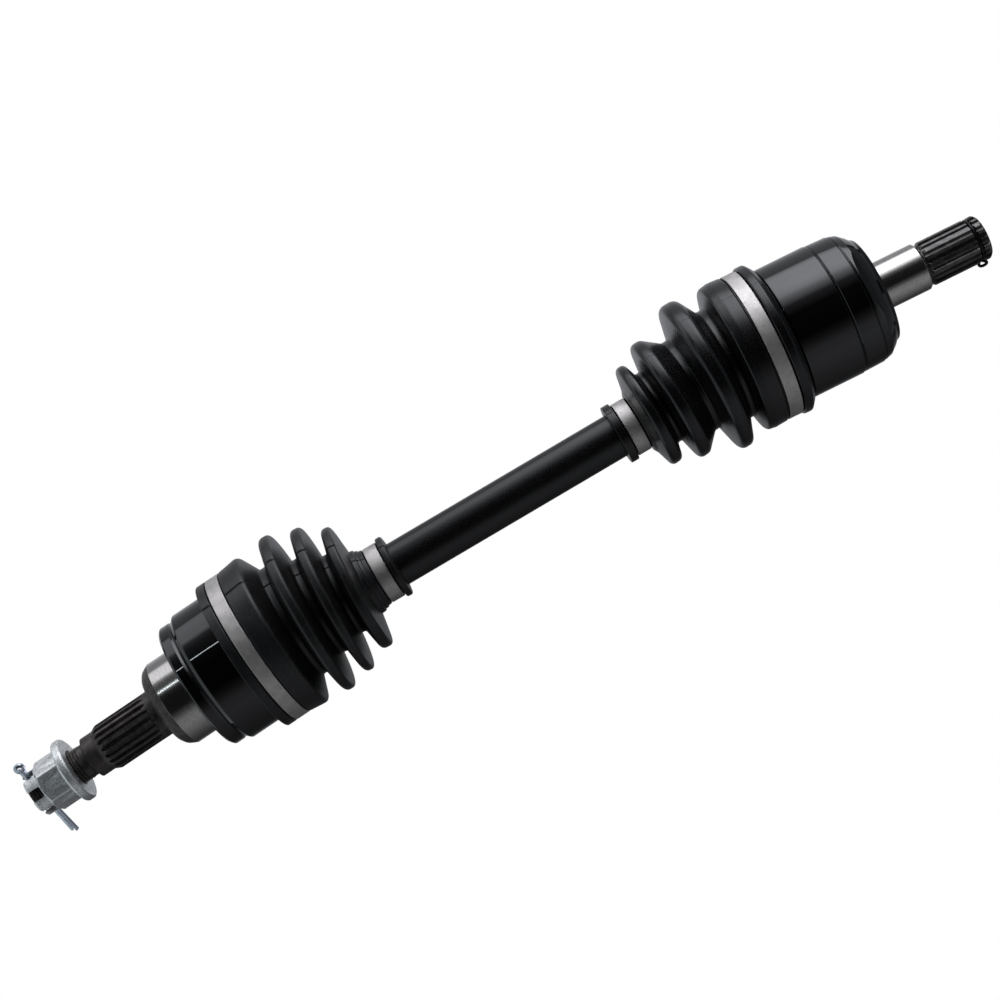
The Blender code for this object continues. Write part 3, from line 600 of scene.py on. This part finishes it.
def balls():
    """Balls 1 and 4 ride on the joint's first link, the others in the cage."""
    arc = np.linspace(0, math.pi, 25)
    for end, place, sizes in (("outboard", half_way(BELL), OUTBOARD), ("inboard", half_way(CAN), INBOARD)):
        xs, radii = -sizes["ball"] * np.cos(arc), sizes["ball"] * np.sin(arc)
        for k in range(BALLS):
            turn = math.radians(UP + 360.0 * k / BALLS)
            at = Matrix.Translation(Vector((0, math.cos(turn), math.sin(turn))) * sizes["pitch"] * MM)
            body = f"{end}_ball_pair" if k % 3 == 0 else f"{end}_cage"
            piece(f"{end}_bearing_ball_{k + 1}", turned(xs, radii, round_angles(48)), place @ at, BEARING,
                  body, "bearing_steel", f"{end}_ball_{k + 1}", sharp=60)


def clamp(name, x, width, radius, place, body, node, thick=0.9):
    """A crimped band: the ear stands out below, and the tail lies over the band beyond it.

    Degree is how many degrees one millimetre of the band spans.
    """
    half, ear_half, ear_high, ear_at, tail_at = width / 2, 3.2, 3.2, 270.0, 48.0
    inside, outside = radius - thick / 2, radius + thick / 2
    section = outline([(x - half, inside, 0.2), (x - half, outside, 0.35), (x + half, outside, 0.35),
                       (x + half, inside, 0.2)], 0.9, closed=True)
    degree = math.degrees(1 / radius)
    round_ear, round_tail = np.arange(-5, 5.1, 0.25) * degree, tail_at + np.arange(-1, 1, 0.2) * degree
    angles = round_angles(extra=(ear_at + round_ear, ear_at + round_tail))
    off = from_middle(angles, ear_at) / degree
    ear = ear_high * smooth_step(off, ear_half, ear_half * 0.45)
    past = (angles - ear_at) % 360
    tail = 0.7 * (off > ear_half * 0.6) * smooth_step(past, tail_at + 0.5 * degree, tail_at - 0.5 * degree)
    upper = smooth_step(section[:, 1:], radius - thick * 0.1, radius + thick * 0.2)
    mesh = turned(section[:, 0], section[:, 1:] + ear + tail * upper, angles, loop=True)
    piece(name, mesh, place, BAND, body, "band_steel", node, sharp=40)


# ---------------------------------------------------------------- boots

class Course:
    """The line that a boot's rings stand along: for each x the rise of the ring's middle and its tilt."""

    def __init__(self, place, stations):
        self.origin = place.translation / MM
        self.xs, self.rises, self.tilts = zip(*stations)

    def middle(self, x):
        return np.array([self.origin.x + x, np.interp(x, self.xs, self.rises), 0.0])

    def normal(self, x):
        tilt = math.radians(np.interp(x, self.xs, self.tilts))
        return np.array([math.cos(tilt), math.sin(tilt), 0.0])

    def rings(self, xs, radii, angles):
        """The points of the rings, in the row's own frame."""
        middle = np.array([self.middle(x) for x in xs])[:, None, :]
        normal = np.array([self.normal(x) for x in xs])[:, None, :]
        level = np.cross((0, 0, 1), normal)
        y = (radii * np.cos(angles))[..., None]
        z = (radii * np.sin(angles))[..., None]
        return middle + y * level + z * np.array([0, 0, 1.0])


def boot(end, course, corners, inside, zones, look):
    """A bellows in closed lengths; the seams lie on straight flanks.

    Inside gives the inner radius for an outline point (x, radius). A zone is (seam before, seam after,
    blend from, blend to, x whose ring the blend follows).
    """
    points = outline(corners, longest=0.8)
    angles = round_angles(extra=[turn + np.array([-1.4, -0.7, 0, 0.7, 1.4]) for turn in PARTING_ANGLES])
    off = np.min([from_middle(angles, turn) for turn in PARTING_ANGLES], axis=0)
    parting = PARTING_DEPTH[end] * smooth_step(off, 1.0, 0.0)
    outer = points[:, 1:] - parting
    inner = np.array([inside(x, r) for x, r in points])[:, None] * np.ones(len(angles))
    radians = np.radians(angles)
    for number, (low, high, start, stop, level) in enumerate(zones, 1):
        use = np.flatnonzero((points[:, 0] >= low - 0.01) & (points[:, 0] <= high + 0.01))
        # a length reaches one row back into the one before, so that nothing shows between them
        rows = np.arange(use[0] - (number > 1), use[-1] + 1)
        xs = points[rows, 0]
        outside, lining = (course.rings(xs, radii[rows], radians) for radii in (outer, inner))
        mesh = skin(np.vstack([outside, lining[::-1]]), loop=True)
        part = piece(f"{end}_bellows_{number}", mesh, ROW, look, None, "rubber", f"{end}_boot", sharp=60)
        way = course.normal(level)
        begin = course.middle(start)
        finish = begin + way * (course.middle(stop) - begin).dot(way)
        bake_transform(part)


def outboard_boot():
    corners = [(-5.2, 39.6), (-5.2, 40.8, 0.5), (-0.5, 40.8, 0.5), (-0.2, 39.6, 0.3), (7.8, 39.6, 0.3),
               (8.2, 40.8, 0.6), (18.5, 42.0, 2.6), (23.9, 30.1, 1.6), (27.5, 30.1, 1.6), (30.7, 43.2, 2.4),
               (35.7, 43.2, 1.9), (38.0, 25.9, 1.7), (41.9, 25.9, 1.7), (44.9, 39.4, 2.3), (49.6, 39.4, 1.8),
               (51.5, 21.2, 1.6), (55.0, 21.2, 1.6), (57.8, 33.1, 2.3), (62.7, 33.1, 1.8), (65.0, 17.3, 1.0),
               (67.4, 17.0, 0.5), (67.8, 16.2, 0.3), (69.3, 15.9, 0.5), (69.7, 15.3, 0.3), (71.4, 15.1, 0.5),
               (71.7, 13.8, 0.3), (79.3, 13.8, 0.3), (79.7, 16.3, 0.9), (82.8, 16.4, 1.2), (83.2, 14.0)]
    far = math.sin(BELL.to_euler().z)
    bend = math.degrees(BELL.to_euler().z)
    course = Course(BELL, [(-9, -9 * far, bend), (14, 14 * far, bend), (25.8, 2.05, 0.6), (39.9, 2.0, -0.9),
                           (46.9, 1.4, -1.9), (53.2, 1.0, -3.1), (59.9, 0.5, -2.3), (70, 0, 0)])

    def inside(x, r):
        if x < 9.8:
            return 34.5
        return 11.65 if x > 66.4 else r - BOOT_WALL

    zones = [(-5.2, 28.7, 13.0, 27.2, 28.7), (28.7, 43.2, 29.0, 42.9, 36.0), (43.2, 56.2, 43.6, 55.8, 50.0),
             (56.2, 83.2, 56.6, 68.0, 56.2)]
    boot("outboard", course, corners, inside, zones, RUBBER)


def inboard_boot():
    corners = [(-110.9, 14.6), (-110.7, 15.6, 0.5), (-106.6, 15.6, 0.5), (-106.2, 13.1, 0.3),
               (-98.6, 13.1, 0.3), (-98.2, 15.6, 0.5), (-96.9, 18.2, 1.6), (-94.5, 27.5, 2.6),
               (-89.4, 27.5, 2.6), (-87.1, 19.8, 1.4), (-84.4, 19.8, 1.5), (-81.7, 32.7, 2.8),
               (-76.4, 32.6, 3.4), (-68.2, 25.2, 2.0), (-64.9, 25.2, 1.6), (-61.1, 40.4, 3.4),
               (-53.9, 40.4, 3.6), (-48.4, 29.2, 1.7), (-45.1, 29.2, 1.6), (-42.6, 38.4, 2.0),
               (-38.0, 39.2, 3.0), (-31.8, 38.8, 0.6), (-31.3, 37.4, 0.3), (-22.9, 37.4, 0.3),
               (-22.6, 39.6, 0.8), (-18.6, 39.7, 1.6), (-16.2, 36.6, 1.0), (-15.5, 35.0)]
    far = math.sin(CAN.to_euler().z)
    bend = math.degrees(CAN.to_euler().z)
    course = Course(CAN, [(-98, 0, 0), (-92, 0.8, 2.0), (-78.7, 1.9, 2.4), (-66.6, 2.6, 1.4),
                          (-57.3, 2.9, 0), (-46.8, 3.0, -3.2), (-36, -36 * far, bend),
                          (-13, -13 * far, bend)])

    def inside(x, r):
        if x > -33.0:
            return 33.5
        return 11.65 if x < -98.2 else r - BOOT_WALL

    zones = [(-110.9, -83.0, -96.0, -83.4, -83.0), (-83.0, -70.0, -82.6, -70.4, -76.5),
             (-70.0, -62.6, -69.8, -62.8, -66.0), (-62.6, -51.7, -62.3, -52.0, -57.0),
             (-51.7, -15.5, -51.3, -33.0, -51.7)]
    boot("inboard", course, corners, inside, zones, SMOOTH_RUBBER)


# ---------------------------------------------------------------- stage, lights, camera

def softbox(name, place, target, across, tall, radiance):
    """A cool area light that faces the target, unseen by the camera; across is its level side."""
    light = bpy.data.lights.new(name, "AREA")
    light.shape = "RECTANGLE"
    light.size, light.size_y = across, tall
    light.energy = radiance * math.pi * across * tall
    light.color = (0.85, 0.95, 1.0)
    made = bpy.data.objects.new(name, light)
    bpy.context.scene.collection.objects.link(made)
    made.location = place
    made.rotation_euler = (Vector(target) - Vector(place)).to_track_quat("-Z", "Y").to_euler()
    made.visible_camera = False


# radiance round the axle as (angle, at the hub end, at the gearbox end); 0 is straight up, 90 towards +Y
SCREEN = [(-180, 0.42, 0.42), (-160, 0.14, 0.12), (-144, 0.04, 0.05), (-128, 0.05, 0.06),
          (-112, 0.09, 0.12), (-96, 0.15, 0.19), (-80, 0.22, 0.28), (-64, 0.28, 0.34), (-46, 0.24, 0.28),
          (-32, 0.08, 0.09), (-20, 0.01, 0.01), (20, 0.01, 0.02), (36, 0.03, 0.2), (50, 0.08, 1.7),
          (58, 0.12, 3.0), (66, 0.3, 3.3), (73, 1.35, 3.3), (96, 1.3, 2.6), (104, 1.1, 1.7),
          (108, 0.32, 0.45), (128, 0.33, 0.42), (144, 0.4, 0.46), (160, 0.62, 0.58), (172, 0.6, 0.58)]
SCREEN_FAR = 1.3
SCREEN_PEAK = 4.0


def screen():
    """A tube of soft light round the axle, like a window and pale tables in a dim room."""
    angles = np.radians(np.arange(-180, 181, 4))
    count = len(angles)
    mesh = bpy.data.meshes.new("screen")
    points = [(x, SCREEN_FAR * math.sin(a), SCREEN_FAR * math.cos(a))
              for x in (-SCREEN_FAR, SCREEN_FAR) for a in angles]
    mesh.from_pydata(points, [], [(k, k + 1, count + k + 1, count + k) for k in range(count - 1)])
    chart = mesh.uv_layers.new(name="chart")
    for loop in mesh.loops:
        end, k = divmod(loop.vertex_index, count)
        chart.data[loop.index].uv = (end, k / (count - 1))
    glow = bpy.data.materials.new("screen glow")
    glow.use_nodes = True
    nodes, links = glow.node_tree.nodes, glow.node_tree.links
    nodes.remove(nodes["Principled BSDF"])
    chart_place = nodes.new("ShaderNodeTexCoord")
    parts = nodes.new("ShaderNodeSeparateXYZ")
    links.new(chart_place.outputs["UV"], parts.inputs["Vector"])
    along = nodes.new("ShaderNodeMapRange")
    along.interpolation_type = "SMOOTHSTEP"
    along.inputs["From Min"].default_value = 0.5 - 0.25 / (2 * SCREEN_FAR)
    along.inputs["From Max"].default_value = 0.5 + 0.55 / (2 * SCREEN_FAR)
    links.new(parts.outputs["X"], along.inputs["Value"])
    mix = nodes.new("ShaderNodeMix")
    mix.data_type = "RGBA"
    links.new(along.outputs["Result"], mix.inputs["Factor"])
    colours = [i for i in mix.inputs if i.type == "RGBA"]
    for end, colour in enumerate(colours, 1):
        ramp = nodes.new("ShaderNodeValToRGB")
        stops = ramp.color_ramp.elements
        stops[0].position, stops[1].position = 0.0, 1.0
        for stop in SCREEN[1:]:
            stops.new((stop[0] + 180) / 360)
        for element, stop in zip(stops, [*SCREEN, SCREEN[0]]):
            element.color = [stop[end] / SCREEN_PEAK * tint for tint in (0.96, 0.98, 1.04)] + [1.0]
        links.new(parts.outputs["Y"], ramp.inputs["Fac"])
        links.new(ramp.outputs["Color"], colour)
    shine = nodes.new("ShaderNodeEmission")
    shine.inputs["Strength"].default_value = SCREEN_PEAK
    links.new(next(o for o in mix.outputs if o.type == "RGBA"), shine.inputs["Color"])
    links.new(shine.outputs["Emission"], nodes["Material Output"].inputs["Surface"])
    mesh.materials.append(glow)
    made = bpy.data.objects.new("screen", mesh)
    bpy.context.scene.collection.objects.link(made)
    made.visible_camera = made.visible_shadow = False


def stage():
    """A pale floor that neither lights the axle nor takes its shadow, and a world seen as white."""
    glow = bpy.data.materials.new("pale floor")
    glow.use_nodes = True
    nodes, links = glow.node_tree.nodes, glow.node_tree.links
    nodes.remove(nodes["Principled BSDF"])
    shine = nodes.new("ShaderNodeEmission")
    shine.inputs["Strength"].default_value = 1.0
    links.new(shine.outputs["Emission"], nodes["Material Output"].inputs["Surface"])
    low = CAD_BOX[0].z - 0.002
    mesh = bpy.data.meshes.new("floor")
    mesh.from_pydata([(-4, -4, low), (4, -4, low), (4, 4, low), (-4, 4, low)], [], [(0, 1, 2, 3)])
    mesh.materials.append(glow)
    floor = bpy.data.objects.new("floor", mesh)
    bpy.context.scene.collection.objects.link(floor)
    floor.visible_diffuse = floor.visible_glossy = floor.visible_shadow = floor.visible_transmission = False
    world = bpy.data.worlds.new("studio")
    bpy.context.scene.world = world
    world.use_nodes = True
    nodes, links = world.node_tree.nodes, world.node_tree.links
    room = nodes["Background"]
    room.inputs["Color"].default_value = (0.9, 0.93, 1.0, 1.0)
    room.inputs["Strength"].default_value = 0.03
    paper = nodes.new("ShaderNodeBackground")
    paper.inputs["Color"].default_value = (1, 1, 1, 1)
    ray = nodes.new("ShaderNodeLightPath")
    mix = nodes.new("ShaderNodeMixShader")
    links.new(ray.outputs["Is Camera Ray"], mix.inputs["Fac"])
    links.new(room.outputs["Background"], mix.inputs[1])
    links.new(paper.outputs["Background"], mix.inputs[2])
    links.new(mix.outputs["Shader"], nodes["World Output"].inputs["Surface"])


def camera():
    data = bpy.data.cameras.new("camera")
    data.lens = 72.2
    made = bpy.data.objects.new("camera", data)
    bpy.context.scene.collection.objects.link(made)
    made.location = (-0.002617, 0.001676, 0.9873)
    made.rotation_euler = (0, 0, math.radians(-30.51))
    bpy.context.scene.camera = made
    bpy.context.scene.view_settings.view_transform = "Standard"


def dress_frame():
    """Procedural steel on the CAD nodes that stay: races, cages, rings and the spring cup."""
    for name, node in frame["nodes"].items():
        look = SPRING if "circlip" in name or "ring" in name else BEARING
        for slot in node.material_slots:
            slot.material = look


dress_frame()
bell()
hub_seat()
hub_stub()
castle_nut()
cotter_pin()
can()
journal()
gearbox_stub()
stub_circlip()
plunge_spring()
shaft()
balls()
outboard_boot()
inboard_boot()
clamp("outboard_band_large", 3.9, 7.2, 40.3, BELL, "outboard_housing", "outboard_boot_clamp_large")
clamp("outboard_band_small", 75.5, 7.0, 14.6, OUTBOARD_SHAFT, "shaft", "outboard_boot_clamp_small", 0.8)
clamp("inboard_band_large", -27.1, 7.2, 38.2, CAN, "inboard_housing", "inboard_boot_clamp_large")
clamp("inboard_band_small", -102.4, 7.0, 13.85, INBOARD_SHAFT, "shaft", "inboard_boot_clamp_small", 0.8)
softbox("line", (-0.415, 0.763, 0.926), (-0.415, 0, 0), 0.27, 0.022, 12.0)
softbox("hub end panel", (-1.25, 0.0, 0.1), (-0.2, 0, 0), 2.6, 2.0, 0.5)
softbox("gearbox end panel", (1.25, 0.0, 0.1), (0.2, 0, 0), 2.6, 2.2, 0.12)
screen()
stage()
camera()
